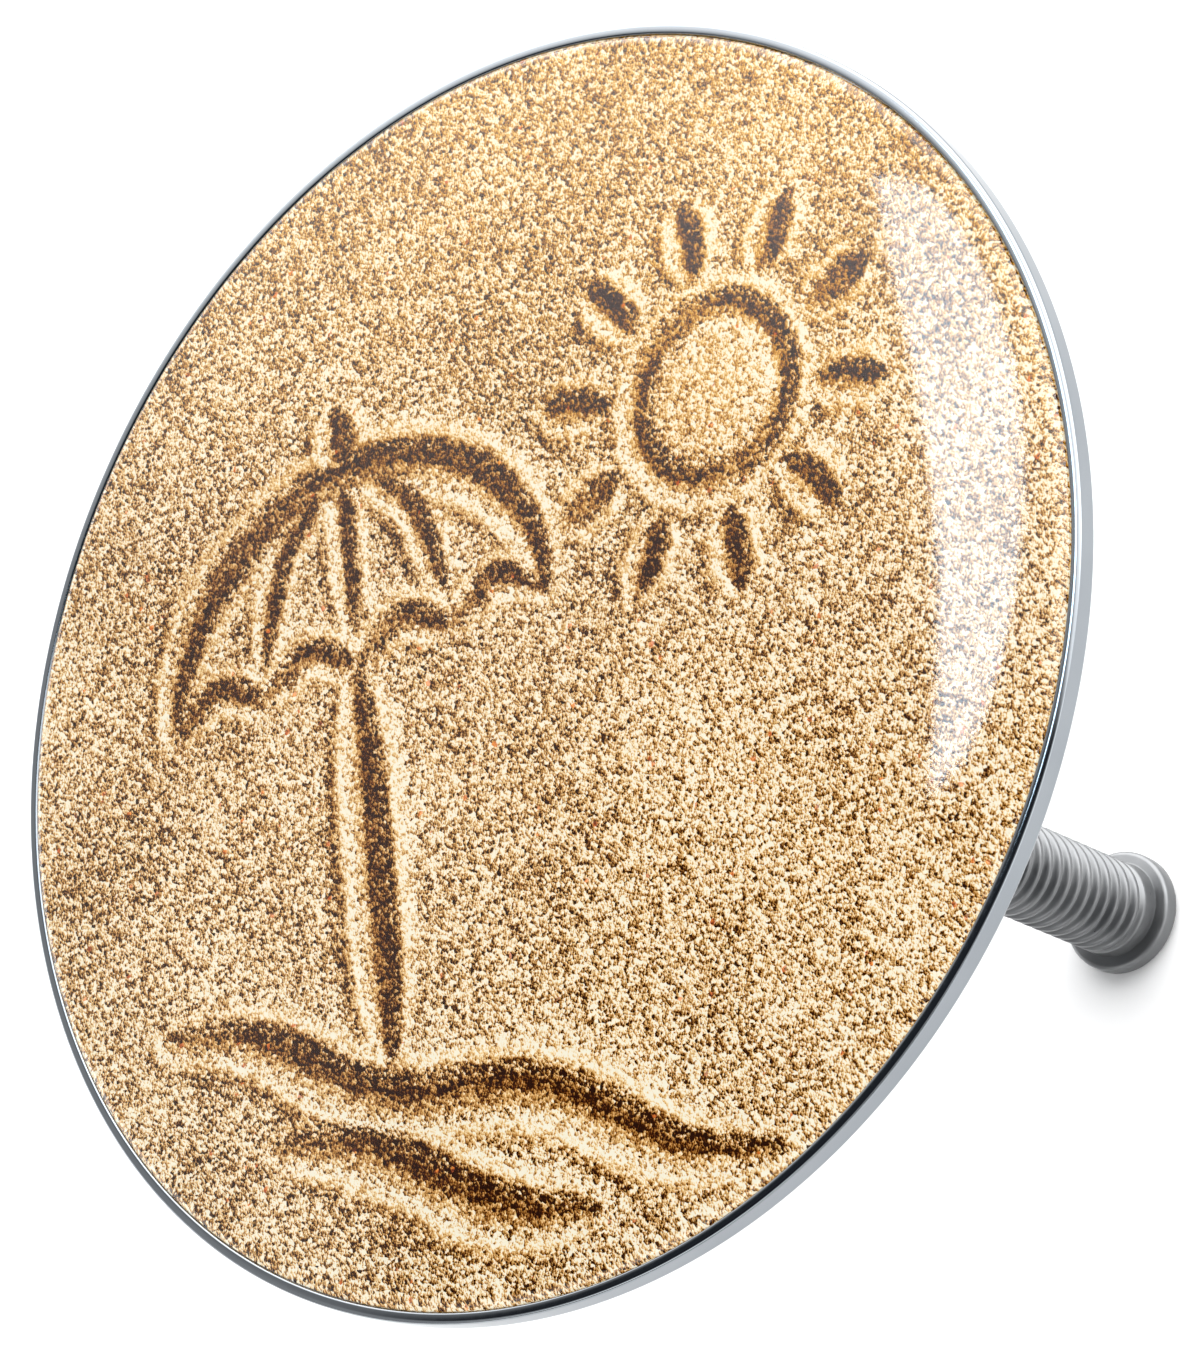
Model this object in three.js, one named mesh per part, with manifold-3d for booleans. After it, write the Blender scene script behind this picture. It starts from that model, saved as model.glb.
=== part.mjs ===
// Pop-up bath drain plug: a thin round chromed cap with a picture under clear resin, a rubber seal
// on a moulded carrier, and a threaded stem that sets how high the plug stands in the waste.
// Millimetres, +Z up. The stem's flat foot stands on Z = 0, and the plug's axis is the Z axis.
// +X points to the picture's right, +Y to its top.

import * as THREE from 'three';
import { mergeVertices } from 'three/addons/utils/BufferGeometryUtils.js';
import Module from 'manifold-3d';

const wasm = await Module();
wasm.setup();

// Whole plug
const PLUG_LENGTH = 57.8; // foot to the top of the cap's lip
const FACE_GAP = 0.01; // between faces that rest on each other
const RUNNING_GAP = 0.05; // radial gap where one piece turns or slides in another

// Cap
const CAP_DIAMETER = 73;
const CAP_EDGE_HEIGHT = 1.35;
const CAP_EDGE_ROUND = 0.25;
const LIP_WIDTH = 0.65;
const RECESS_DEPTH = 0.45;
const FLANGE_SEAT_DEPTH = 0.15; // in the underside, where the boss's flange is located

// Layers that lie in the cap's recess
const ADHESIVE_THICKNESS = 0.08;
const FILM_THICKNESS = 0.15;
const LAYER_SIDE_GAP = 0.05;
const RESIN_EDGE_HEIGHT = 0.17;
const RESIN_CROWN = 1.0; // how far the middle stands above the edge
const RESIN_FLATNESS = 4; // power of the crown's curve: 2 is a plain dome, more is flatter
const RESIN_STEPS = 8;

// Threaded boss under the cap
const BOSS_LENGTH = 22.64; // below the cap's seat
const BOSS_DIAMETER = 12;
const BOSS_FLANGE_DIAMETER = 20;
const BOSS_FLANGE_THICKNESS = 1.5;
const SPIGOT_DIAMETER = 9;
const BORE_END_WALL = 1.9;

// Stem
const THREAD_DIAMETER = 5.8; // M6, over the plated crests
const STEM_LENGTH = 45.8;
const FOOT_DIAMETER = 7.4;
const FOOT_THICKNESS = 1.25;
const THREAD_CHAMFER = 0.6; // at the ends of the stem's and the boss's threads

// Seal and its carrier
const GASKET_THICKNESS = 1;
const GASKET_DIAMETER = 19;
const CARRIER_FLANGE_DIAMETER = 40;
const CARRIER_FLANGE_THICKNESS = 1.8;
const SEAL_GROOVE_DIAMETER = 32;
const SEAL_GROOVE_WIDTH = 2.5;
const CARRIER_KEEPER_DIAMETER = 38;
const CARRIER_KEEPER_THICKNESS = 2;
const CARRIER_CONE_HEIGHT = 4.5;
const CARRIER_TIP_DIAMETER = 23;
const CARRIER_TIP_HEIGHT = 2.4;
const SEAL_DIAMETER = 48;
const SEAL_LIP_THICKNESS = 1;
const SEAL_BAND_DIAMETER = 39.2; // inner edge of the flat band that meets the waste
const SEAL_BAND_HEIGHT = 0.15; // how far the band stands proud of the keeper

// Washers and nuts
const CLAMP_WASHER = { outer: 18, thickness: 1 };
const CLAMP_NUT = { acrossFlats: 17, height: 4 };
const LOCK_WASHER = { outer: 12, thickness: 1.2 };
const LOCK_NUT = { acrossFlats: 10, height: 5 };
const WASHER_PLAY = 0.25; // radial
const NUT_CHAMFER_ANGLE = THREE.MathUtils.degToRad(30);

// Sides of the round shapes
const CAP_SIDES = 64;
const SIDES = 40;
const CORNER_STEPS = 2;

const CHROME = { color: 0xd3d7da, roughness: 0.12, metalness: 1 };
const PLATED_BRASS = { color: 0xc9c7bd, roughness: 0.22, metalness: 1 };
const STEEL = { color: 0xb5b8ba, roughness: 0.32, metalness: 1 };
const ADHESIVE = { color: 0xe8e4d8, roughness: 0.5, metalness: 0 };
const PRINT = { color: 0xc9a470, roughness: 0.6, metalness: 0 };
const RESIN = { color: 0xfbfaf6, roughness: 0.05, metalness: 0, transparent: true, opacity: 0.3 };
const PLASTIC = { color: 0x2b2d30, roughness: 0.5, metalness: 0 };
const RUBBER = { color: 0x17181a, roughness: 0.8, metalness: 0 };

/** A solid turned about Z from [radius, height] points that run upward on its outside. */
function turned(profile, sides = SIDES) {
  const points = profile.map(([radius, height]) => new THREE.Vector2(radius, height));
  const geometry = new THREE.LatheGeometry(points, sides);
  geometry.rotateX(Math.PI / 2);
  return geometry;
}

/** The same, for a ring whose outline closes on itself. */
function turnedRing(profile, sides = SIDES) {
  return turned([...profile, profile[0]], sides);
}

/** A plain washer, standing on Z = 0. */
function washerGeometry(inner, outer, thickness) {
  return turnedRing([
    [inner, 0],
    [outer, 0],
    [outer, thickness],
    [inner, thickness],
  ]);
}

/** A quarter of a circle about [radius, height], starting at an angle and turning upward or inward. */
function corner(radius, height, round, fromDegrees) {
  const points = [];
  for (let i = 0; i <= CORNER_STEPS; i++) {
    const angle = THREE.MathUtils.degToRad(fromDegrees + (90 * i) / CORNER_STEPS);
    points.push([radius + round * Math.cos(angle), height + round * Math.sin(angle)]);
  }
  return points;
}

/** A three.js geometry as a manifold-3d solid. */
function toSolid(geometry) {
  const bare = geometry.clone();
  bare.deleteAttribute('normal');
  bare.deleteAttribute('uv');
  const merged = mergeVertices(bare, 1e-4);
  return new wasm.Manifold(
    new wasm.Mesh({
      numProp: 3,
      vertProperties: new Float32Array(merged.attributes.position.array),
      triVerts: new Uint32Array(merged.index.array),
    }),
  );
}

/** A manifold-3d solid as a three.js geometry. */
function toGeometry(solid) {
  const mesh = solid.getMesh();
  const geometry = new THREE.BufferGeometry();
  geometry.setAttribute('position', new THREE.BufferAttribute(mesh.vertProperties, 3));
  geometry.setIndex(new THREE.BufferAttribute(mesh.triVerts, 1));
  geometry.computeVertexNormals();
  return geometry;
}

/** A hexagon nut standing on Z = 0, its corners chamfered at both ends. */
function nutGeometry(acrossFlats, height, bore) {
  const cornerRadius = acrossFlats / 2 / Math.cos(Math.PI / 6);
  const outline = new THREE.Shape();
  for (let i = 0; i < 6; i++) {
    const angle = (i * Math.PI) / 3;
    const x = cornerRadius * Math.cos(angle);
    const y = cornerRadius * Math.sin(angle);
    if (i === 0) {
      outline.moveTo(x, y);
    } else {
      outline.lineTo(x, y);
    }
  }
  outline.closePath();
  const hole = new THREE.Path();
  hole.absarc(0, 0, bore, 0, 2 * Math.PI, true);
  outline.holes.push(hole);
  const hexagon = new THREE.ExtrudeGeometry(outline, {
    depth: height,
    bevelEnabled: false,
    curveSegments: SIDES / 2,
  });
  const flatRadius = acrossFlats / 2;
  const coneRun = cornerRadius + 1 - flatRadius;
  const coneRise = coneRun * Math.tan(NUT_CHAMFER_ANGLE);
  const spindle = turned([
    [0, 0],
    [flatRadius, 0],
    [flatRadius + coneRun, coneRise],
    [flatRadius + coneRun, height - coneRise],
    [flatRadius, height],
    [0, height],
  ]);
  return toGeometry(toSolid(hexagon).intersect(toSolid(spindle)));
}

/** A named mesh whose base stands at a height on the plug's axis. */
function piece(name, geometry, finish, base) {
  const mesh = new THREE.Mesh(geometry, new THREE.MeshStandardMaterial(finish));
  mesh.name = name;
  mesh.position.z = base;
  return mesh;
}

const capRadius = CAP_DIAMETER / 2;
const recessRadius = capRadius - LIP_WIDTH;
const capBase = PLUG_LENGTH - CAP_EDGE_HEIGHT;
const recessFloor = CAP_EDGE_HEIGHT - RECESS_DEPTH;
const layerRadius = recessRadius - LAYER_SIDE_GAP;

/** The pressed plate: a flat dish with a narrow lip, and a hole and a seat for the boss. */
function capPlate() {
  const hole = SPIGOT_DIAMETER / 2 + RUNNING_GAP;
  const seat = BOSS_FLANGE_DIAMETER / 2 + RUNNING_GAP;
  const round = CAP_EDGE_ROUND;
  const outline = [
    [hole, FLANGE_SEAT_DEPTH],
    [seat, FLANGE_SEAT_DEPTH],
    [seat, 0],
    ...corner(capRadius - round, round, round, -90),
    ...corner(capRadius - round, CAP_EDGE_HEIGHT - round, round, 0),
    [recessRadius, CAP_EDGE_HEIGHT],
    [recessRadius, recessFloor],
    [hole, recessFloor],
  ];
  return piece('cap_plate', turnedRing(outline, CAP_SIDES), CHROME, capBase);
}

/** A flat round layer of the given thickness, its base at a height. */
function layer(name, thickness, finish, base) {
  const outline = [
    [0, 0],
    [layerRadius, 0],
    [layerRadius, thickness],
    [0, thickness],
  ];
  return piece(name, turned(outline, CAP_SIDES), finish, base);
}

/** The poured resin: level with the lip at its edge, and crowned towards the middle. */
function resinDome(base) {
  const outline = [
    [0, 0],
    [layerRadius, 0],
  ];
  for (let i = 0; i <= RESIN_STEPS; i++) {
    const share = Math.cos(((i / RESIN_STEPS) * Math.PI) / 2);
    const height = RESIN_EDGE_HEIGHT + RESIN_CROWN * (1 - share ** RESIN_FLATNESS);
    outline.push([i === RESIN_STEPS ? 0 : layerRadius * share, height]);
  }
  return piece('resin_dome', turned(outline, CAP_SIDES), RESIN, base);
}

const bossTop = capBase + FLANGE_SEAT_DEPTH - FACE_GAP;
const bossBase = bossTop - BOSS_LENGTH;
const threadHole = THREAD_DIAMETER / 2 + RUNNING_GAP;

/** The boss: a spigot held in the plate, a flange under it, and a body with a blind bore. */
function threadedBoss() {
  const bodyRadius = BOSS_DIAMETER / 2;
  const flangeRadius = BOSS_FLANGE_DIAMETER / 2;
  const spigotRadius = SPIGOT_DIAMETER / 2;
  const flangeBase = BOSS_LENGTH - BOSS_FLANGE_THICKNESS;
  const boreEnd = BOSS_LENGTH - BORE_END_WALL;
  const spigotEnd = BOSS_LENGTH - FLANGE_SEAT_DEPTH + recessFloor;
  const outline = [
    [0, boreEnd],
    [threadHole, boreEnd],
    [threadHole, 0],
    [bodyRadius - THREAD_CHAMFER, 0],
    [bodyRadius, THREAD_CHAMFER],
    [bodyRadius, flangeBase],
    [flangeRadius, flangeBase],
    [flangeRadius, BOSS_LENGTH],
    [spigotRadius, BOSS_LENGTH],
    [spigotRadius, spigotEnd],
    [0, spigotEnd],
  ];
  return piece('threaded_boss', turned(outline), PLATED_BRASS, bossBase);
}

const gasketBase = bossTop - BOSS_FLANGE_THICKNESS - FACE_GAP - GASKET_THICKNESS;
const bossClearance = BOSS_DIAMETER / 2 + RUNNING_GAP;
const carrierHeight =
  CARRIER_FLANGE_THICKNESS +
  SEAL_GROOVE_WIDTH +
  CARRIER_KEEPER_THICKNESS +
  CARRIER_CONE_HEIGHT +
  CARRIER_TIP_HEIGHT;
const carrierBase = gasketBase - FACE_GAP - carrierHeight;
const keeperBase = CARRIER_TIP_HEIGHT + CARRIER_CONE_HEIGHT;
const grooveBase = keeperBase + CARRIER_KEEPER_THICKNESS;

/** The flat gasket that closes the joint between boss and carrier. */
function carrierGasket() {
  const geometry = washerGeometry(bossClearance, GASKET_DIAMETER / 2, GASKET_THICKNESS);
  return piece('carrier_gasket', geometry, RUBBER, gasketBase);
}

/** The moulded carrier: a flange, a groove for the seal, a keeper and a cone that finds the hole. */
function sealCarrier() {
  const outline = [
    [bossClearance, 0],
    [CARRIER_TIP_DIAMETER / 2, 0],
    [CARRIER_TIP_DIAMETER / 2, CARRIER_TIP_HEIGHT],
    [CARRIER_KEEPER_DIAMETER / 2, keeperBase],
    [CARRIER_KEEPER_DIAMETER / 2, grooveBase],
    [SEAL_GROOVE_DIAMETER / 2, grooveBase],
    [SEAL_GROOVE_DIAMETER / 2, grooveBase + SEAL_GROOVE_WIDTH],
    [CARRIER_FLANGE_DIAMETER / 2, grooveBase + SEAL_GROOVE_WIDTH],
    [CARRIER_FLANGE_DIAMETER / 2, carrierHeight],
    [bossClearance, carrierHeight],
  ];
  return piece('seal_carrier', turnedRing(outline, CAP_SIDES), PLASTIC, carrierBase);
}

/** The rubber seal: it fills the groove loosely and thins to a lip with a flat band underneath. */
function sealRing() {
  const thickness = SEAL_GROOVE_WIDTH - 2 * RUNNING_GAP;
  const bandRadius = SEAL_BAND_DIAMETER / 2;
  const outline = [
    [SEAL_GROOVE_DIAMETER / 2 + RUNNING_GAP, 0],
    [bandRadius - SEAL_BAND_HEIGHT, 0],
    [bandRadius, -SEAL_BAND_HEIGHT],
    [SEAL_DIAMETER / 2, -SEAL_BAND_HEIGHT],
    [SEAL_DIAMETER / 2, SEAL_LIP_THICKNESS - SEAL_BAND_HEIGHT],
    [CARRIER_FLANGE_DIAMETER / 2, thickness],
    [SEAL_GROOVE_DIAMETER / 2 + RUNNING_GAP, thickness],
  ];
  const base = carrierBase + grooveBase + RUNNING_GAP;
  return piece('seal_ring', turnedRing(outline, CAP_SIDES), RUBBER, base);
}

const clampWasherBase = carrierBase - FACE_GAP - CLAMP_WASHER.thickness;
const clampNutBase = clampWasherBase - FACE_GAP - CLAMP_NUT.height;

/** The washer and nut on the boss's outer thread, which hold the carrier up. */
function carrierClamp() {
  const washer = washerGeometry(
    BOSS_DIAMETER / 2 + WASHER_PLAY,
    CLAMP_WASHER.outer / 2,
    CLAMP_WASHER.thickness,
  );
  const nut = nutGeometry(CLAMP_NUT.acrossFlats, CLAMP_NUT.height, bossClearance);
  return [
    piece('clamp_washer', washer, STEEL, clampWasherBase),
    piece('clamp_nut', nut, PLATED_BRASS, clampNutBase),
  ];
}

const lockWasherBase = bossBase - FACE_GAP - LOCK_WASHER.thickness;
const lockNutBase = lockWasherBase - FACE_GAP - LOCK_NUT.height;

/** The washer and nut on the stem, which lock its height against the boss. */
function stemLock() {
  const washer = washerGeometry(
    THREAD_DIAMETER / 2 + WASHER_PLAY,
    LOCK_WASHER.outer / 2,
    LOCK_WASHER.thickness,
  );
  const nut = nutGeometry(LOCK_NUT.acrossFlats, LOCK_NUT.height, threadHole);
  return [
    piece('lock_washer', washer, STEEL, lockWasherBase),
    piece('lock_nut', nut, STEEL, lockNutBase),
  ];
}

/** The stem: a threaded rod with a small flat foot, which the waste's lever pushes up. */
function threadedStem() {
  const rodRadius = THREAD_DIAMETER / 2;
  const footRadius = FOOT_DIAMETER / 2;
  const footRound = CAP_EDGE_ROUND;
  const outline = [
    [0, 0],
    ...corner(footRadius - footRound, footRound, footRound, -90),
    ...corner(footRadius - footRound, FOOT_THICKNESS - footRound, footRound, 0),
    [rodRadius, FOOT_THICKNESS],
    [rodRadius, STEM_LENGTH - THREAD_CHAMFER],
    [rodRadius - THREAD_CHAMFER, STEM_LENGTH],
    [0, STEM_LENGTH],
  ];
  return piece('threaded_stem', turned(outline), STEEL, 0);
}

const adhesiveBase = capBase + recessFloor + FACE_GAP;
const filmBase = adhesiveBase + ADHESIVE_THICKNESS + FACE_GAP;
const resinBase = filmBase + FILM_THICKNESS + FACE_GAP;

// Everything that turns as one with the cap
const cap = new THREE.Group();
cap.add(
  capPlate(),
  layer('adhesive_film', ADHESIVE_THICKNESS, ADHESIVE, adhesiveBase),
  layer('picture_film', FILM_THICKNESS, PRINT, filmBase),
  resinDome(resinBase),
  threadedBoss(),
  carrierGasket(),
  sealCarrier(),
  ...carrierClamp(),
);

const plug = new THREE.Group();
plug.add(threadedStem(), sealRing(), cap, ...stemLock());

export default plug;
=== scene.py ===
"""Looks of a pop-up bath drain plug with a sand picture under clear resin.

Sizes are in mm where nothing else is said, and MM turns them into the scene's metres. +Z is up, and
the foot stands on Z = 0.
"""

import math

import bpy
import numpy as np
from mathutils import Matrix, Vector


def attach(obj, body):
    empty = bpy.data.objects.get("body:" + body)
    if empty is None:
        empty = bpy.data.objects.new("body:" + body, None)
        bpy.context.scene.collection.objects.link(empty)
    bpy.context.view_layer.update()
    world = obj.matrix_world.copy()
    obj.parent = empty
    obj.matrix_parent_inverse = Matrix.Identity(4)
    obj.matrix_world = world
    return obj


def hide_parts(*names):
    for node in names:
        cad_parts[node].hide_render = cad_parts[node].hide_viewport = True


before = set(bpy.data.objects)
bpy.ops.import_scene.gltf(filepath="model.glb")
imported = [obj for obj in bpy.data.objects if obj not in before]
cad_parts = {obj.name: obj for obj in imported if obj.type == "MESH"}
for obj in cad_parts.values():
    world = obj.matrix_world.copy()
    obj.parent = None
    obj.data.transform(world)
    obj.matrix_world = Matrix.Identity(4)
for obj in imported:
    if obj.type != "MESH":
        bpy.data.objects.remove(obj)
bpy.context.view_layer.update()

MM = 0.001
TAU = 2 * math.pi

# ---------------------------------------------------------------- camera

AIM = Vector((5.56, -0.47, 57.8))  # mm, where the view's centre meets the cap
AZIMUTH = -12.41  # degrees, of the camera round the plug from +X
ELEVATION = 47.65  # degrees above the floor
ROLL = -66.99  # degrees about the line of sight
DISTANCE = 375.6  # mm from AIM
LENS = 185.8  # mm
SENSOR_WIDTH = 36  # mm
NEAREST, FARTHEST = 0.01, 50  # metres that the camera sees


def make_camera():
    azimuth, elevation, roll = (math.radians(a) for a in (AZIMUTH, ELEVATION, ROLL))
    back = Vector(
        (
            math.cos(elevation) * math.cos(azimuth),
            math.cos(elevation) * math.sin(azimuth),
            math.sin(elevation),
        )
    )
    level = Vector((0, 0, 1)).cross(back).normalized()
    upright = back.cross(level)
    right = level * math.cos(roll) + upright * math.sin(roll)
    up = back.cross(right)
    data = bpy.data.cameras.new("camera")
    data.lens = LENS
    data.sensor_width = SENSOR_WIDTH
    data.clip_start = NEAREST
    data.clip_end = FARTHEST
    camera = bpy.data.objects.new("camera", data)
    place = Matrix((right, up, back)).transposed().to_4x4()
    place.translation = (AIM + back * DISTANCE) * MM
    camera.matrix_world = place
    bpy.context.collection.objects.link(camera)
    bpy.context.scene.camera = camera


# ---------------------------------------------------------------- node helpers


class Nodes:
    """A material's nodes, with short ways to add them."""

    def __init__(self, name):
        self.material = bpy.data.materials.new(name)
        self.material.use_nodes = True
        self.tree = self.material.node_tree
        self.shader = self.tree.nodes["Principled BSDF"]
        self.coords = self.tree.nodes.new("ShaderNodeTexCoord").outputs["Object"]

    def add(self, kind, inputs=None, **settings):
        node = self.tree.nodes.new(kind)
        for key, value in settings.items():
            setattr(node, key, value)
        for key, value in (inputs or {}).items():
            self.put(node.inputs[key], value)
        return node

    def put(self, socket, value):
        if isinstance(value, bpy.types.NodeSocket):
            self.tree.links.new(value, socket)
        else:
            socket.default_value = value

    def set(self, **values):
        for key, value in values.items():
            self.put(self.shader.inputs[key.replace("_", " ")], value)

    def math(self, operation, a, b, clamp=False):
        node = self.add("ShaderNodeMath", {0: a, 1: b}, operation=operation)
        node.use_clamp = clamp
        return node.outputs[0]

    def noise(self, size_mm, detail, vector=None):
        inputs = {"Vector": vector or self.coords, "Scale": 1000 / size_mm, "Detail": detail}
        return self.add("ShaderNodeTexNoise", inputs).outputs["Fac"]

    def stretched(self, scale):
        node = self.add("ShaderNodeMapping", {"Vector": self.coords, "Scale": scale})
        return node.outputs["Vector"]

    def remap(self, value, low, high, to_low, to_high):
        inputs = {"Value": value, "From Min": low, "From Max": high, "To Min": to_low, "To Max": to_high}
        return self.add("ShaderNodeMapRange", inputs).outputs["Result"]

    def ramp(self, value, stops):
        node = self.add("ShaderNodeValToRGB", {"Fac": value})
        ramp = node.color_ramp
        while len(ramp.elements) < len(stops):
            ramp.elements.new(0.5)
        for element, (place, colour) in zip(ramp.elements, stops):
            element.position = place
            element.color = (*colour, 1)
        return node.outputs["Color"]

    def bump(self, height, strength, distance_mm):
        inputs = {"Height": height, "Strength": strength, "Distance": distance_mm * MM}
        return self.add("ShaderNodeBump", inputs).outputs["Normal"]

    def attribute(self, name):
        return self.add("ShaderNodeAttribute", attribute_name=name).outputs["Fac"]

    def plus(self, total, value, weight):
        return self.math("ADD", total, self.math("MULTIPLY", value, weight))

    def centred(self, value):
        """A value from 0 to 1, moved to lie about 0."""
        return self.math("SUBTRACT", value, 0.5)


def tone(red, green, blue):
    """A screen colour from 0 to 255 as linear light."""
    return tuple(
        c / 12.92 if c <= 0.04045 else ((c + 0.055) / 1.055) ** 2.4
        for c in (red / 255, green / 255, blue / 255)
    )


# ---------------------------------------------------------------- materials


def metal(name, dark, light, rough, grain_mm):
    """Plated or bare metal: faint cloudy tone, fine turning marks and a slightly uneven gloss."""
    n = Nodes(name)
    clouds = n.noise(3.5, 3.0)
    n.set(Base_Color=n.ramp(clouds, [(0.35, dark), (0.65, light)]), Metallic=1.0)
    marks = n.noise(grain_mm, 2.0, vector=n.stretched((0.12, 0.12, 1)))
    n.set(Roughness=n.remap(n.math("ADD", clouds, marks), 0.7, 1.3, rough * 0.8, rough * 1.25))
    n.set(Normal=n.bump(marks, 0.06, 0.02))
    return n.material


def chrome():
    n = Nodes("chrome")
    clouds = n.noise(6, 2.0)
    n.set(Base_Color=n.ramp(clouds, [(0.3, (0.26, 0.28, 0.30)), (0.7, (0.29, 0.31, 0.33))]), Metallic=1.0)
    fine = n.noise(0.35, 3.0)
    n.set(Roughness=n.remap(fine, 0.3, 0.7, 0.05, 0.09))
    n.set(Normal=n.bump(n.noise(2.2, 2.0), 0.04, 0.03))
    return n.material


def black_plastic():
    n = Nodes("black_plastic")
    grain = n.noise(0.16, 3.0)
    clouds = n.noise(5, 2.0)
    n.set(Base_Color=n.ramp(clouds, [(0.3, (0.018, 0.018, 0.020)), (0.7, (0.032, 0.032, 0.035))]))
    n.set(Roughness=n.remap(clouds, 0.3, 0.7, 0.38, 0.5))
    n.set(Normal=n.bump(grain, 0.25, 0.05))
    return n.material


def rubber():
    n = Nodes("rubber")
    grain = n.noise(0.22, 4.0)
    dust = n.noise(2.4, 4.0)
    n.set(Base_Color=n.ramp(dust, [(0.35, (0.013, 0.013, 0.013)), (0.75, (0.034, 0.033, 0.031))]))
    n.set(Roughness=n.remap(dust, 0.3, 0.7, 0.62, 0.8))
    n.set(Normal=n.bump(grain, 0.3, 0.05))
    return n.material


def adhesive():
    n = Nodes("adhesive")
    clouds = n.noise(2.0, 3.0)
    n.set(Base_Color=n.ramp(clouds, [(0.3, (0.74, 0.70, 0.60)), (0.7, (0.80, 0.77, 0.68))]))
    n.set(Roughness=n.remap(clouds, 0.3, 0.7, 0.35, 0.5))
    return n.material


def resin():
    """Clear, glossy resin."""
    n = Nodes("resin")
    n.set(Base_Color=(1, 1, 1, 1), Roughness=0.045, IOR=1.52)
    n.set(Transmission_Weight=1.0)
    return n.material


PRINT_WHITE = 0.67  # how much light the film's unprinted white gives back
COARSE_GRAIN, FINE_GRAIN = 0.24, 0.155  # mm
GRAIN_LIGHT = (0.75, 0.66, 0.0)  # towards the light on the grains
SPECK_SHARE = 0.0025  # how many of the coarse grains are of another colour
INKS = [  # from the darkest sand to the lightest
    (0.00, tone(38, 14, 3)),
    (0.16, tone(110, 56, 14)),
    (0.34, tone(174, 118, 54)),
    (0.52, tone(218, 168, 98)),
    (0.70, tone(246, 207, 142)),
    (0.85, tone(255, 233, 182)),
    (1.00, tone(255, 251, 232)),
]
SPECK_INKS = [(0.0, tone(60, 35, 30)), (0.5, tone(190, 90, 50)), (1.0, tone(225, 140, 60))]


def sand_print():
    """Printed sand: grains lit from the upper right, darker in the drawing's grooves."""
    n = Nodes("print")

    def grains(size_mm, offset):
        moved = n.add("ShaderNodeVectorMath", {0: n.coords, 1: offset}, operation="ADD").outputs[0]
        cells = n.add("ShaderNodeTexVoronoi", {"Vector": moved, "Scale": 1000 / size_mm})
        away = n.add("ShaderNodeVectorMath", {0: moved, 1: cells.outputs["Position"]}, operation="SUBTRACT")
        side = n.add("ShaderNodeVectorMath", {0: away.outputs[0], 1: GRAIN_LIGHT}, operation="DOT_PRODUCT")
        lit = n.math("MULTIPLY", side.outputs["Value"], 1000 / size_mm)
        own = n.add("ShaderNodeSeparateColor", {0: cells.outputs["Color"]})
        return lit, own.outputs[0], own.outputs[1]

    lit_coarse, own_coarse, odd_one = grains(COARSE_GRAIN, (0.0, 0.0, 0.0))
    lit_fine, own_fine, _ = grains(FINE_GRAIN, (0.0113, 0.0071, 0.0))
    clumps = n.noise(0.75, 2.0)
    patches = n.noise(6.0, 3.0)

    grain = n.math("MULTIPLY", lit_coarse, 0.58)
    grain = n.plus(grain, lit_fine, 0.55)
    grain = n.plus(grain, n.centred(own_coarse), 1.00)
    grain = n.plus(grain, n.centred(own_fine), 0.80)
    grain = n.plus(grain, n.centred(clumps), 0.35)
    grain = n.math("MULTIPLY", grain, n.attribute("rough"))
    level = n.math("ADD", n.attribute("shade"), grain)
    level = n.math("ADD", level, n.math("MULTIPLY", n.centred(patches), 0.16), clamp=True)
    colour = n.ramp(level, [(place, [c * PRINT_WHITE for c in ink]) for place, ink in INKS])
    speck = n.math("MULTIPLY", n.math("GREATER_THAN", odd_one, 1 - SPECK_SHARE), 0.75)
    # A Mix node's inputs 6 and 7, and its output 2, are the ones for colours.
    mix = n.add("ShaderNodeMix", {0: speck, 6: colour, 7: n.ramp(own_fine, SPECK_INKS)}, data_type="RGBA")
    warm = {"Saturation": n.attribute("warm"), "Color": mix.outputs[2]}
    n.set(Base_Color=n.add("ShaderNodeHueSaturation", warm).outputs[0])
    n.set(Roughness=0.55, Specular_IOR_Level=0.0)
    return n.material


def floor_material():
    n = Nodes("floor")
    clouds = n.noise(120, 2.0)
    n.set(Base_Color=n.ramp(clouds, [(0.3, (0.93, 0.93, 0.93)), (0.7, (0.95, 0.95, 0.95))]))
    n.set(Roughness=n.remap(clouds, 0.3, 0.7, 0.85, 0.95))
    return n.material


# ---------------------------------------------------------------- mesh helpers


def mesh_object(name, vertices, faces, material, sharp_degrees=35):
    """A smooth mesh from points in mm, its sharp edges kept."""
    mesh = bpy.data.meshes.new(name)
    mesh.from_pydata([tuple(c * MM for c in v) for v in vertices], [], faces)
    mesh.validate()
    mesh.shade_smooth()
    mesh.set_sharp_from_angle(angle=math.radians(sharp_degrees))
    mesh.materials.append(material)
    obj = bpy.data.objects.new(name, mesh)
    bpy.context.collection.objects.link(obj)
    weighted = obj.modifiers.new("weighted", "WEIGHTED_NORMAL")
    weighted.keep_sharp = True
    return obj


def rounded(corners, steps=4):
    """Profile points from [radius, height, round] corners, each corner rounded by its own radius."""
    points = []
    count = len(corners)
    for i, (r, z, fillet) in enumerate(corners):
        here = np.array((r, z), float)
        if fillet <= 0:
            points.append((r, z))
            continue
        to_last = np.array(corners[i - 1][:2], float) - here
        to_next = np.array(corners[(i + 1) % count][:2], float) - here
        a = to_last / np.linalg.norm(to_last)
        b = to_next / np.linalg.norm(to_next)
        half = math.acos(max(-1.0, min(1.0, float(a @ b)))) / 2
        longest = 0.49 * min(np.linalg.norm(to_last), np.linalg.norm(to_next))
        reach = min(fillet / math.tan(half), longest)
        start, end = here + a * reach, here + b * reach
        for step in range(steps + 1):
            t = step / steps
            p = start * (1 - t) ** 2 + here * 2 * t * (1 - t) + end * t**2
            points.append((float(p[0]), float(p[1])))
    return points


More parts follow.
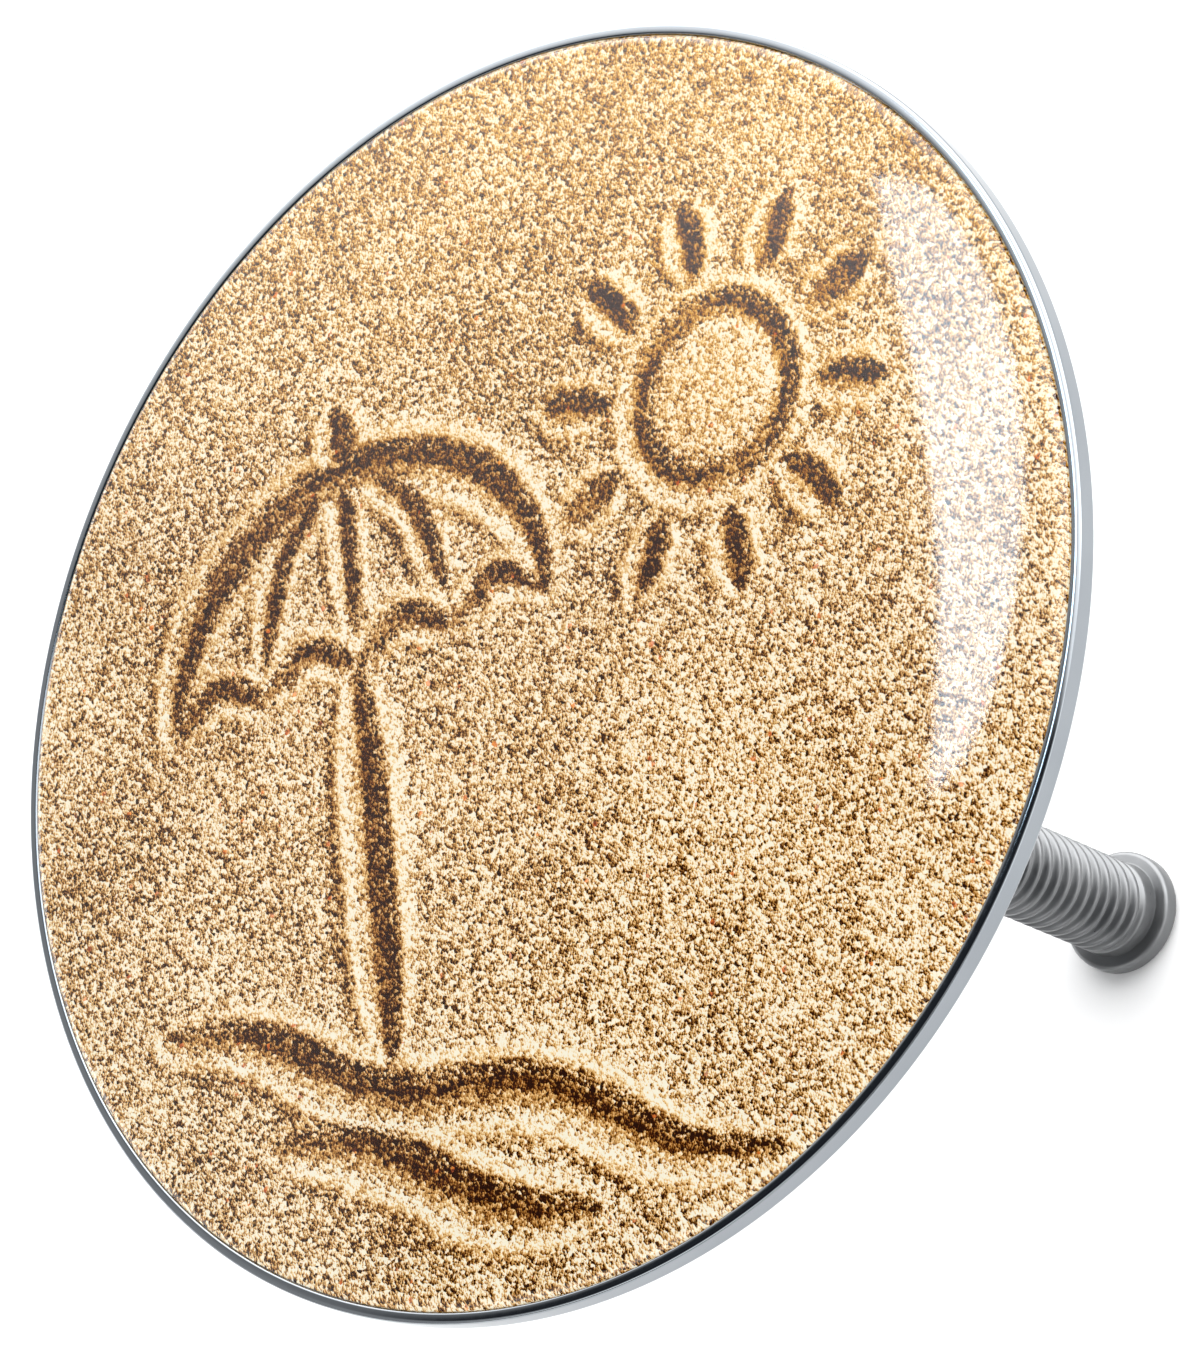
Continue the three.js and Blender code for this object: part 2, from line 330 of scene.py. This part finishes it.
AXIS = 1e-9  # mm, a ring no wider than this is a point on the axis


def skin(name, rings, material, closed, sharp_degrees):
    """A solid round Z through rings of (radius, height) points. A closed one's last ring joins its first."""
    segments = len(rings[0])
    vertices = []
    index = []
    for ring in rings:
        if ring[0][0] <= AXIS:
            index.append([len(vertices)] * segments)
            vertices.append((0, 0, ring[0][1]))
            continue
        index.append(list(range(len(vertices), len(vertices) + segments)))
        for k, (r, z) in enumerate(ring):
            angle = TAU * k / segments
            vertices.append((r * math.cos(angle), r * math.sin(angle), z))
    if closed:
        index.append(index[0])
    faces = []
    for low, high in zip(index, index[1:]):
        for k in range(segments):
            j = (k + 1) % segments
            corners = [low[k], low[j], high[j], high[k]]
            face = [v for i, v in enumerate(corners) if v not in corners[:i]]
            if len(face) > 2:
                faces.append(face)
    return mesh_object(name, vertices, faces, material, sharp_degrees)


def lathe(name, profile, material, segments, closed=True, shape=None, sharp_degrees=35):
    """A solid turned about Z. The profile runs up its outside; points at radius 0 close it on the axis.
    shape(angle, radius, height) may return another radius."""
    rings = []
    for r, z in profile:
        angles = [TAU * k / segments for k in range(segments)]
        rings.append([(shape(angle, r, z) if shape else r, z) for angle in angles])
    return skin(name, rings, material, closed, sharp_degrees)


def smoothstep(x):
    x = min(1.0, max(0.0, x))
    return x * x * (3 - 2 * x)


def thread_height(phase):
    """Height of a rounded V thread from 0 at the root to 1 at the crest, at a phase in turns."""
    x = abs(phase % 1.0 - 0.5) * 2
    root_flat, flank = 0.10, 0.72
    return smoothstep((x - root_flat) / flank)


def threaded(name, ends, reach, radii, pitch, material, segments=64, rows_per_turn=12):
    """A right-hand threaded rod. Its two runs of profile points (ends) have the thread between them,
    over the heights in reach and between the radii (crest, root). It fades in at both ends."""
    low_end, high_end = ends
    start, stop = reach
    crest, root = radii
    run_out = 0.6 * pitch
    count = max(2, int(round((stop - start) / pitch * rows_per_turn)))
    rings = [[(r, z)] * segments for r, z in low_end]
    for i in range(count + 1):
        z = start + (stop - start) * i / count
        fade = smoothstep(min(1.0, (z - start) / run_out, (stop - z) / run_out))
        ring = []
        for k in range(segments):
            depth = (1 - thread_height(z / pitch - k / segments)) * fade
            ring.append((crest - (crest - root) * depth, z))
        rings.append(ring)
    rings += [[(r, z)] * segments for r, z in high_end]
    return skin(name, rings, material, closed=False, sharp_degrees=50)


def hex_nut(name, across_flats, height, bore, base, material, segments=144):
    """A hexagon nut, its corners turned off at 30 degrees and its bore countersunk."""
    flat = across_flats / 2
    corner = flat / math.cos(math.pi / 6)
    rounding, rounded_over = 0.12, 0.35
    turn_off = flat * 0.97
    slope = math.tan(math.radians(30))
    countersink = 0.45
    edge = 0.06
    top = base + height

    def outline(angle):
        inside = (angle + math.pi / 6) % (math.pi / 3) - math.pi / 6
        sharp = flat / math.cos(inside)
        return sharp - rounding * smoothstep((sharp - corner + rounded_over) / rounded_over)

    def round_ring(radius, z):
        return [(radius, z)] * segments

    def hexagon_ring(low, inset):
        ring = []
        for k in range(segments):
            r = outline(TAU * k / segments) - inset
            drop = max(0.0, r - turn_off) * slope
            ring.append((r, base + drop if low else top - drop))
        return ring

    rings = [
        round_ring(bore, base + countersink),
        round_ring(bore + countersink, base),
        round_ring(turn_off, base),
        hexagon_ring(True, edge),
        hexagon_ring(True, 0.0),
        hexagon_ring(False, 0.0),
        hexagon_ring(False, edge),
        round_ring(turn_off, top),
        round_ring(bore + countersink, top),
        round_ring(bore, top - countersink),
    ]
    return skin(name, rings, material, closed=True, sharp_degrees=24)


def dress(obj, node, body):
    """Puts a finished piece on its body, in place of the CAD node it stands for."""
    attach(obj, body)
    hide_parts(node)


# ---------------------------------------------------------------- the drawing in the sand

PICTURE_RADIUS = 35.8
CELL = 0.25  # mm between the picture's vertices

# The drawing is a generic beach motif, built from a circle, arcs, straight lines and waves. All in mm.
SUN_CENTRE = (8.5, 15.5)
SUN_RADIUS = 4.9
SUN_WIDTH = 0.74
RAY_COUNT = 10
RAY_FROM, RAY_TO = 7.2, 11.6
PARASOL_BASE = (-12.0, -1.5)  # the middle of the canopy's lower edge
PARASOL_TILT = 24.0  # degrees, the top leans to the left
CANOPY_HALF, CANOPY_HEIGHT = 13.5, 11.5
SCALLOPS = 4
SCALLOP_RISE = 1.7
TIP_FROM, TIP_TO = 0.8, 4.2  # above the canopy
POLE_FROM, POLE_TO = 0.6, 23.0  # below the canopy
WAVES = [(-19.0, 25.0, -24.0, 2), (-9.0, 14.0, -28.8, 1)]  # left and right end, level, count
WAVE_HEIGHT = 0.9

# The width and depth of each kind of stroke.
RAY = (0.66, 0.80)
CANOPY = (0.85, 0.90)
SCALLOP = (0.58, 0.66)
RIB = (0.54, 0.70)
TIP = (0.72, 0.85)
POLE = (0.86, 0.95)
WAVE = (0.95, 0.85)


def sun_strokes():
    """Evenly spaced straight rays, as (width, depth, points)."""
    x, y = SUN_CENTRE
    strokes = []
    for k in range(RAY_COUNT):
        angle = TAU * (k + 0.25) / RAY_COUNT
        ends = [(x + r * math.cos(angle), y + r * math.sin(angle)) for r in (RAY_FROM, RAY_TO)]
        strokes.append((*RAY, ends))
    return strokes


def parasol_strokes():
    """A half-round canopy with even scallops and ribs, a tip and a straight pole."""
    tilt = math.radians(PARASOL_TILT)

    def place(u, v):
        return (
            PARASOL_BASE[0] + u * math.cos(tilt) - v * math.sin(tilt),
            PARASOL_BASE[1] + u * math.sin(tilt) + v * math.cos(tilt),
        )

    arch = [math.pi * k / 10 for k in range(11)]
    strokes = [(*CANOPY, [place(CANOPY_HALF * math.cos(t), CANOPY_HEIGHT * math.sin(t)) for t in arch])]
    width = 2 * CANOPY_HALF / SCALLOPS
    for k in range(SCALLOPS):
        left = -CANOPY_HALF + k * width
        scallop = [place(left, 0), place(left + width / 2, SCALLOP_RISE), place(left + width, 0)]
        strokes.append((*SCALLOP, scallop))
        if k:
            rib = [place(left * math.sin(t), CANOPY_HEIGHT * math.cos(t)) for t in (0.15, 0.75, 1.35)]
            strokes.append((*RIB, rib))
    strokes.append((*TIP, [place(0, CANOPY_HEIGHT + TIP_FROM), place(0, CANOPY_HEIGHT + TIP_TO)]))
    strokes.append((*POLE, [place(0, -POLE_FROM), place(0, -POLE_TO)]))
    return strokes


def ground_strokes():
    """Even waves under the parasol."""
    strokes = []
    for left, right, level, count in WAVES:
        steps = [k / 16 for k in range(17)]
        points = [(left + (right - left) * t, level + WAVE_HEIGHT * math.sin(TAU * count * t)) for t in steps]
        strokes.append((*WAVE, points))
    return strokes


def smooth_line(points, steps=14):
    """A Catmull-Rom curve through the points."""
    p = np.array(points, float)
    p = np.vstack((2 * p[0] - p[1], p, 2 * p[-1] - p[-2]))
    out = []
    for a, b, c, d in zip(p, p[1:], p[2:], p[3:]):
        for t in np.linspace(0, 1, steps, endpoint=False):
            square = 2 * a - 5 * b + 4 * c - d
            cube = 3 * b - a - 3 * c + d
            out.append(0.5 * (2 * b + (c - a) * t + square * t**2 + cube * t**3))
    out.append(p[-2])
    return np.array(out)


def pressed(x, y, width, depth, line):
    """A groove that tapers at both ends, and the bank pushed up along both of its sides."""
    nearest = np.full(x.shape, 1e9)
    place = np.zeros(x.shape)
    for i, (a, b) in enumerate(zip(line, line[1:])):
        run = b - a
        length2 = max(float(run @ run), 1e-9)
        t = np.clip(((x - a[0]) * run[0] + (y - a[1]) * run[1]) / length2, 0, 1)
        away = np.hypot(x - a[0] - t * run[0], y - a[1] - t * run[1])
        closer = away < nearest
        nearest = np.where(closer, away, nearest)
        place = np.where(closer, (i + t) / (len(line) - 1), place)
    taper = np.clip(np.minimum(place, 1 - place) / 0.25, 0, 1) ** 0.6
    wide = width * (0.45 + 0.55 * taper)
    deep = depth * (0.35 + 0.65 * taper)
    groove = deep * np.exp(-((nearest / wide) ** 2))
    bank = 0.60 * deep * np.exp(-(((nearest - 1.9 * wide) / (0.35 + 0.55 * wide)) ** 2))
    return groove, bank


def sand_ground(x, y, wobble):
    """Height in mm of the sand with the drawing in it. The wobble is its height without the drawing."""
    groove = np.zeros(x.shape)
    bank = np.zeros(x.shape)
    for width, depth, points in sun_strokes() + parasol_strokes() + ground_strokes():
        new_groove, new_bank = pressed(x, y, width, depth, smooth_line(points))
        groove = np.maximum(groove, new_groove)
        bank = np.maximum(bank, new_bank)
    away = np.hypot(x - SUN_CENTRE[0], y - SUN_CENTRE[1]) - SUN_RADIUS
    groove = np.maximum(groove, 0.62 * np.exp(-((away / SUN_WIDTH) ** 2)))
    bank = np.maximum(bank, 0.36 * np.exp(-(((away - 1.75 * SUN_WIDTH) / (0.3 + 0.5 * SUN_WIDTH)) ** 2)))
    disc = 0.24 / (1 + np.exp((away + 1.0) / 0.3))
    return wobble + disc - groove + bank * np.clip(1 - groove / 0.12, 0, 1)


def soft_noise(x, y, size, seed):
    """Smooth random field about 0, mostly between -1 and 1. Its bumps are about the given size."""
    rng = np.random.default_rng(seed)
    total = np.zeros(x.shape)
    for _ in range(14):
        angle = rng.uniform(0, TAU)
        k = TAU / (size * rng.uniform(0.7, 1.6))
        total += np.sin(k * (x * math.cos(angle) + y * math.sin(angle)) + rng.uniform(0, TAU))
    return total / 5.0


SAND_LAMP = (0.62, 0.60, 0.50)  # towards the light on the drawn sand
FLAT_SHADE = 0.62  # of level sand, from 0 for the darkest ink to 1 for the lightest
SLOPE_SHARE, SHADOW_SHARE, HOLLOW_SHARE, BANK_SHARE = 0.44, 0.30, 0.34, 0.14


def sand_shade(x, y, step):
    """On a square grid: how light the sand is, how contrasty its grains are and how warm its colour is."""
    wobble = soft_noise(x, y, 8.0, 3) * 0.10 + soft_noise(x, y, 2.6, 5) * 0.02
    ground = sand_ground(x, y, wobble)
    lamp = np.array(SAND_LAMP)
    lamp = lamp / np.linalg.norm(lamp)
    level = math.hypot(lamp[0], lamp[1])
    slope_y, slope_x = np.gradient(ground, step)
    normal = np.stack((-slope_x, -slope_y, np.ones_like(ground)))
    normal /= np.linalg.norm(normal, axis=0)
    lit = np.tensordot(lamp, normal, axes=1) / lamp[2]
    shadow = np.zeros_like(ground)
    for reach in np.arange(1, 9) * step * 0.9:
        dx = int(round(reach * lamp[0] / level / step))
        dy = int(round(reach * lamp[1] / level / step))
        rise = np.roll(ground, (-dy, -dx), axis=(0, 1)) - reach * lamp[2] / level
        shadow = np.maximum(shadow, np.clip((rise - ground) / 0.12, 0, 1))
    hollow = np.clip((wobble - ground - 0.05) / 0.45, 0, 1)
    bank = np.clip((ground - wobble - 0.03) / 0.30, 0, 1)
    shade = FLAT_SHADE + SLOPE_SHARE * np.clip(lit - 1, -0.9, 0.9)
    shade = shade - SHADOW_SHARE * shadow - HOLLOW_SHARE * hollow + BANK_SHARE * bank
    # Painted light: the sand gets lighter towards +X, as light falling off across the picture. The soft noise
    # is random tone.
    shade += 0.06 * soft_noise(x, y, 16.0, 7) + 0.0016 * x
    rough = 1.0 + 0.16 * np.clip((-y - 5) / 25, 0, 1) - 0.22 * np.clip((y - 15) / 20, 0, 1)
    rough = rough * (1 - 0.40 * hollow) * (1 - 0.40 * bank)
    warm = 1.02 + 0.26 * np.clip((y - 5) / 25, 0, 1)
    return {"shade": np.clip(shade, 0.03, 0.98), "rough": rough, "warm": warm}


def picture_mesh(low, high, material):
    """The printed film: a thin disc whose face carries the drawing as shade on a fine grid."""
    count = int(PICTURE_RADIUS / CELL) + 2
    axis = np.arange(-count, count + 1) * CELL
    x, y = np.meshgrid(axis, axis)
    looks = sand_shade(x, y, CELL)
    inside = np.hypot(x, y) < PICTURE_RADIUS - 0.4 * CELL
    full = inside[:-1, :-1] & inside[1:, :-1] & inside[1:, 1:] & inside[:-1, 1:]
    used = np.zeros_like(inside)
    for rows, cols in (
        (slice(0, -1), slice(0, -1)),
        (slice(1, None), slice(0, -1)),
        (slice(1, None), slice(1, None)),
        (slice(0, -1), slice(1, None)),
    ):
        used[rows, cols] |= full
    number = np.full(inside.shape, -1)  # of each grid point's vertex
    number[used] = np.arange(used.sum())
    px, py = x[used], y[used]
    rows, cols = np.nonzero(full)
    quads = np.stack(
        (
            number[rows, cols],
            number[rows, cols + 1],
            number[rows + 1, cols + 1],
            number[rows + 1, cols],
        ),
        axis=1,
    )
    edges = {}
    for quad in quads:
        for a, b in zip(quad, np.roll(quad, -1)):
            if (b, a) in edges:
                del edges[(b, a)]
            else:
                edges[(a, b)] = True
    following = {int(a): int(b) for a, b in edges}
    start = next(iter(following))
    loop = [start]
    while following[loop[-1]] != start:
        loop.append(following[loop[-1]])
    vertices = [(float(a), float(b), high) for a, b in zip(px, py)]
    source = list(range(len(vertices)))  # the grid vertex that each vertex takes its looks from
    first_rim = len(vertices)
    for v in loop:
        a, b, _ = vertices[v]
        scale = PICTURE_RADIUS / math.hypot(a, b)
        vertices.append((a * scale, b * scale, high))
        source.append(v)
    first_low = len(vertices)
    for i in range(len(loop)):
        a, b, _ = vertices[first_rim + i]
        vertices.append((a, b, low))
        source.append(loop[i])
    vertices.append((0, 0, low))
    source.append(loop[0])
    faces = [tuple(int(v) for v in quad) for quad in quads]
    size = len(loop)
    for i in range(size):
        j = (i + 1) % size
        faces.append((loop[i], first_rim + i, first_rim + j, loop[j]))
        faces.append((first_rim + i, first_low + i, first_low + j, first_rim + j))
        faces.append((first_low + i, len(vertices) - 1, first_low + j))
    obj = mesh_object("picture_film", vertices, faces, material)
    for key, values in looks.items():
        data = obj.data.attributes.new(key, "FLOAT", "POINT").data
        data.foreach_set("value", values[used][source].astype(np.float32))
    return obj


# ---------------------------------------------------------------- build

make_camera()

CHROME = chrome()
STEEL = metal("steel", (0.145, 0.149, 0.153), (0.195, 0.199, 0.203), 0.34, 0.12)
PLATED = metal("plated_brass", (0.205, 0.198, 0.178), (0.26, 0.252, 0.23), 0.22, 0.15)
PLASTIC = black_plastic()
RUBBER = rubber()


# Heights in mm of the cap's layers. The resin reaches a little into the film, so that no gap mirrors.
PLATE_UNDER, RECESS_FLOOR, LIP_TOP = 56.45, 57.35, 57.80
FLANGE_SEAT = 56.60
GLUE_LOW, GLUE_HIGH = 57.36, 57.44
FILM_LOW, FILM_HIGH = 57.45, 57.60
RESIN_LOW, RESIN_EDGE = 57.59, 57.78
RESIN_RISE, RESIN_CROWN = 0.33, 0.62  # of its rim over its edge, and of its middle over its rim
ROLL_START, ROLL_DROP = 35.2, 0.30  # where its face starts to roll down, and by how much
# Radii of its face's rings, closer where it bends more.
RESIN_RADII = (35.77, 35.7, 35.6, 35.5, 35.4, 35.3, 35.2, 35, 34.5, 34, 33)
RESIN_RADII += (32, 30, 28, 25, 22, 18, 14, 10, 6, 3, 0)
CAP_RADIUS, LIP_INSIDE = 36.5, 35.85
PLATE_BORE, FLANGE_RECESS = 4.55, 10.05


def cap_pieces():
    plate = lathe(
        "cap_plate",
        rounded(
            [
                (PLATE_BORE, FLANGE_SEAT, 0),
                (FLANGE_RECESS, FLANGE_SEAT, 0.05),
                (FLANGE_RECESS, PLATE_UNDER, 0.05),
                (CAP_RADIUS, PLATE_UNDER, 0.30),
                (CAP_RADIUS, LIP_TOP, 0.25),
                (LIP_INSIDE, LIP_TOP, 0.14),
                (LIP_INSIDE, RECESS_FLOOR, 0),
                (PLATE_BORE, RECESS_FLOOR, 0),
            ],
            6,
        ),
        CHROME,
        segments=288,
    )
    dress(plate, "cap_plate", "cap")
    edge = PICTURE_RADIUS
    outline = [(0, GLUE_LOW, 0), (edge, GLUE_LOW, 0.03), (edge, GLUE_HIGH, 0.03), (0, GLUE_HIGH, 0)]
    glue = lathe("adhesive_film", rounded(outline), adhesive(), segments=192, closed=False)
    dress(glue, "adhesive_film", "cap")
    dress(picture_mesh(FILM_LOW, FILM_HIGH, sand_print()), "picture_film", "cap")
    dress(resin_dome(), "resin_dome", "cap")


def resin_dome():
    edge = PICTURE_RADIUS
    profile = [(0, RESIN_LOW), (34.0, RESIN_LOW), (edge - 0.03, RESIN_LOW), (edge, RESIN_LOW + 0.05)]
    profile.append((edge, RESIN_EDGE - 0.05))
    for r in RESIN_RADII:
        roll = ROLL_DROP * max(0.0, (r - ROLL_START) / (edge - ROLL_START)) ** 2
        profile.append((r, RESIN_EDGE + RESIN_RISE + RESIN_CROWN * (1 - (r / edge) ** 4) - roll))
    dome = lathe("resin_dome", profile, resin(), segments=288, closed=False, sharp_degrees=60)
    dome.visible_shadow = False  # the light reaches the picture through it
    return dome


PITCH = 1.0  # of every thread, in mm
BOSS_CREST, BOSS_ROOT = 6.0, 5.45
BOSS_LOW, FLANGE_LOW, FLANGE_HIGH = 33.95, 55.09, 56.59


def boss_pieces():
    bore_end = FLANGE_HIGH - 1.9
    boss = threaded(
        "threaded_boss",
        (
            [
                (0, bore_end + 0.5),
                (2.95, bore_end),
                (2.95, BOSS_LOW + 0.4),
                (3.35, BOSS_LOW),
                (5.4, BOSS_LOW),
            ],
            [
                (BOSS_CREST, 54.6),
                (BOSS_CREST, FLANGE_LOW - 0.05),
                (BOSS_CREST + 0.05, FLANGE_LOW),
                (9.8, FLANGE_LOW),
                (10.0, FLANGE_LOW + 0.2),
                (10.0, FLANGE_HIGH - 0.1),
                (9.9, FLANGE_HIGH),
                (4.5, FLANGE_HIGH),
                (4.5, 57.30),
                (4.46, 57.34),
                (0, 57.34),
            ],
        ),
        (BOSS_LOW + 0.45, 54.4),
        (BOSS_CREST, BOSS_ROOT),
        PITCH,
        PLATED,
    )
    dress(boss, "threaded_boss", "cap")
    outline = [(6.05, 54.08, 0.1), (9.5, 54.08, 0.2), (9.5, 55.08, 0.2), (6.05, 55.08, 0.1)]
    gasket = lathe("carrier_gasket", rounded(outline), RUBBER, segments=96)
    dress(gasket, "carrier_gasket", "cap")
    dress(seal_carrier(), "seal_carrier", "cap")
    outline = [(6.25, 39.86, 0.08), (9.0, 39.86, 0.12), (9.0, 40.86, 0.2), (6.25, 40.86, 0.08)]
    washer = lathe("clamp_washer", rounded(outline), STEEL, segments=96)
    dress(washer, "clamp_washer", "cap")
    dress(hex_nut("clamp_nut", 17, 4, 6.05, 35.85, PLATED), "clamp_nut", "cap")


FLUTES = 6
FLUTE_DEPTH = 0.35
CONE_TOP = 47.7  # mm, the height that the flutes stay below


def seal_carrier():
    """The moulded carrier, with shallow flutes down its cone."""

    def fluted(angle, r, z):
        if r < 10 or z > CONE_TOP:
            return r
        groove = math.cos(FLUTES * angle) ** 16
        return r - FLUTE_DEPTH * groove * smoothstep((47.6 - z) / 1.2)

    outline = [
        (6.05, 40.87, 0.2),
        (11.5, 40.87, 0.5),
        (11.5, 43.27, 0.6),
        (19.0, 47.77, 0.5),
        (19.0, 49.77, 0.25),
        (16.0, 49.77, 0.15),
        (16.0, 52.27, 0.15),
        (20.0, 52.27, 0.25),
        (20.0, 54.07, 0.35),
        (6.05, 54.07, 0.15),
    ]
    return lathe("seal_carrier", rounded(outline), PLASTIC, segments=216, shape=fluted)


def seal_piece():
    seal = lathe(
        "seal_ring",
        rounded(
            [
                (16.05, 49.82, 0.2),
                (19.45, 49.82, 0.1),
                (19.6, 49.67, 0.1),
                (24.0, 49.67, 0.3),
                (24.0, 50.67, 0.3),
                (20.0, 52.22, 0.5),
                (16.05, 52.22, 0.2),
            ]
        ),
        RUBBER,
        segments=216,
    )
    dress(seal, "seal_ring", "seal")


STEM_CREST, STEM_ROOT = 2.9, 2.47
FOOT_RADIUS = 3.7


def stem_pieces():
    stem = threaded(
        "threaded_stem",
        (
            [
                (0, 0.12),
                (1.2, 0.10),
                (1.5, 0.0),
                (3.4, 0.0),
                (3.58, 0.06),
                (3.68, 0.18),
                (FOOT_RADIUS, 0.32),
                (FOOT_RADIUS, 0.95),
                (3.68, 1.08),
                (3.58, 1.19),
                (3.42, 1.25),
                (3.02, 1.25),
                (2.93, 1.28),
                (STEM_CREST, 1.36),
                (STEM_CREST, 2.1),
            ],
            [(STEM_CREST, 45.3), (2.45, 45.8), (0, 45.8)],
        ),
        (2.2, 45.2),
        (STEM_CREST, STEM_ROOT),
        PITCH,
        STEEL,
        segments=72,
        rows_per_turn=16,
    )
    dress(stem, "threaded_stem", "stem")
    outline = [(3.15, 32.74, 0.08), (6.0, 32.74, 0.12), (6.0, 33.94, 0.2), (3.15, 33.94, 0.08)]
    washer = lathe("lock_washer", rounded(outline), STEEL, segments=96)
    dress(washer, "lock_washer", "stem_washer")
    dress(hex_nut("lock_nut", 10, 5, 2.95, 27.73, STEEL), "lock_nut", "stem_nut")


cap_pieces()
boss_pieces()
seal_piece()
stem_pieces()

# ---------------------------------------------------------------- stage

FLOOR_HALF = 4.0  # metres
FLOOR_DROP = 0.0002  # metres, so that the foot and the floor don't share a plane
WORLD_LIGHT = 2.7
DARK_COLOUR = (0.015, 0.017, 0.02, 1)
# Edges of the dark zone overhead: an axis of the direction, where the zone starts, and where it is full.
DARK_ZONE = [("Y", 0.31, 0.12), ("Y", -0.85, -0.70)]
DARK_HEIGHTS = [("Z", 0.28, 0.42, 0.80), ("Z", 0.715, 0.765, 0.20)]  # and the darkness that each adds
FLAG = [("Y", -0.20, -0.60, 0.85), ("Z", 0.50, 0.30)]  # a low dark zone that greys the stem's far side
KEY_SIDE = ("Y", 0.35, 0.65, 2.4)  # the brighter side of the room: what it adds to WORLD_LIGHT


def make_floor():
    half = FLOOR_HALF
    mesh = bpy.data.meshes.new("floor")
    corners = [(-half, -half, 0), (half, -half, 0), (half, half, 0), (-half, half, 0)]
    mesh.from_pydata(corners, [], [(0, 1, 2, 3)])
    mesh.materials.append(floor_material())
    floor = bpy.data.objects.new("floor", mesh)
    bpy.context.collection.objects.link(floor)
    floor.location.z = -FLOOR_DROP


PANEL_MIDDLE = Vector((-198.0, 93.0, 360.0))  # mm, the middle of the panel's straight side
PANEL_LENGTH = 112.0
PANEL_BULGE = 31.0  # how far its round side stands out
PANEL_TURN = math.radians(-64.0)  # which way the straight side runs
PANEL_STEPS = 24
PANEL_POWER = 10.0
PANEL_COLOUR = (0.66, 0.83, 1.0)


def softbox():
    """A level glowing panel, half an oval. The camera sees only its reflections."""
    along = Vector((math.cos(PANEL_TURN), math.sin(PANEL_TURN), 0))
    out = Vector((-along.y, along.x, 0))
    corners = []
    for k in range(PANEL_STEPS + 1):
        turn = math.pi * k / PANEL_STEPS
        side = along * (PANEL_LENGTH / 2 * math.cos(turn))
        corners.append(PANEL_MIDDLE + side + out * (PANEL_BULGE * math.sin(turn)))
    mesh = bpy.data.meshes.new("softbox")
    mesh.from_pydata([corner * MM for corner in corners], [], [tuple(range(len(corners)))])
    material = bpy.data.materials.new("softbox")
    material.use_nodes = True
    tree = material.node_tree
    tree.nodes.clear()
    glow = tree.nodes.new("ShaderNodeEmission")
    glow.inputs["Color"].default_value = (*PANEL_COLOUR, 1)
    glow.inputs["Strength"].default_value = PANEL_POWER
    output = tree.nodes.new("ShaderNodeOutputMaterial")
    tree.links.new(glow.outputs[0], output.inputs[0])
    mesh.materials.append(material)
    panel = bpy.data.objects.new("softbox", mesh)
    bpy.context.collection.objects.link(panel)
    panel.visible_camera = False


def make_world():
    """Surroundings with a dark zone overhead, which the polished lip shows as black, a low dark zone on
    one side and a brighter other side."""
    world = bpy.data.worlds.new("studio")
    bpy.context.scene.world = world
    world.use_nodes = True
    tree = world.node_tree
    background = tree.nodes["Background"]
    coords = tree.nodes.new("ShaderNodeTexCoord")
    split = tree.nodes.new("ShaderNodeSeparateXYZ")
    tree.links.new(coords.outputs["Generated"], split.inputs[0])

    def edge(axis, start, end, most=1.0):
        node = tree.nodes.new("ShaderNodeMapRange")
        node.interpolation_type = "SMOOTHSTEP"
        node.inputs["From Min"].default_value = start
        node.inputs["From Max"].default_value = end
        node.inputs["To Max"].default_value = most
        tree.links.new(split.outputs[axis], node.inputs["Value"])
        return node.outputs["Result"]

    def combine(operation, a, b):
        node = tree.nodes.new("ShaderNodeMath")
        node.operation = operation
        tree.links.new(a, node.inputs[0])
        tree.links.new(b, node.inputs[1])
        return node.outputs[0]

    dark = combine("ADD", *(edge(*height) for height in DARK_HEIGHTS))
    for side in DARK_ZONE:
        dark = combine("MULTIPLY", dark, edge(*side))
    flag = combine("MULTIPLY", *(edge(*side) for side in FLAG))
    dark = combine("MAXIMUM", dark, flag)
    ramp = tree.nodes.new("ShaderNodeValToRGB")
    ramp.color_ramp.elements[0].color = (1, 1, 1, 1)
    ramp.color_ramp.elements[1].color = DARK_COLOUR
    tree.links.new(dark, ramp.inputs[0])
    tree.links.new(ramp.outputs[0], background.inputs["Color"])
    boost = tree.nodes.new("ShaderNodeMath")
    boost.operation = "ADD"
    boost.inputs[1].default_value = WORLD_LIGHT
    tree.links.new(edge(*KEY_SIDE), boost.inputs[0])
    tree.links.new(boost.outputs[0], background.inputs["Strength"])


make_floor()
make_world()
softbox()
bpy.context.scene.view_settings.view_transform = "Standard"
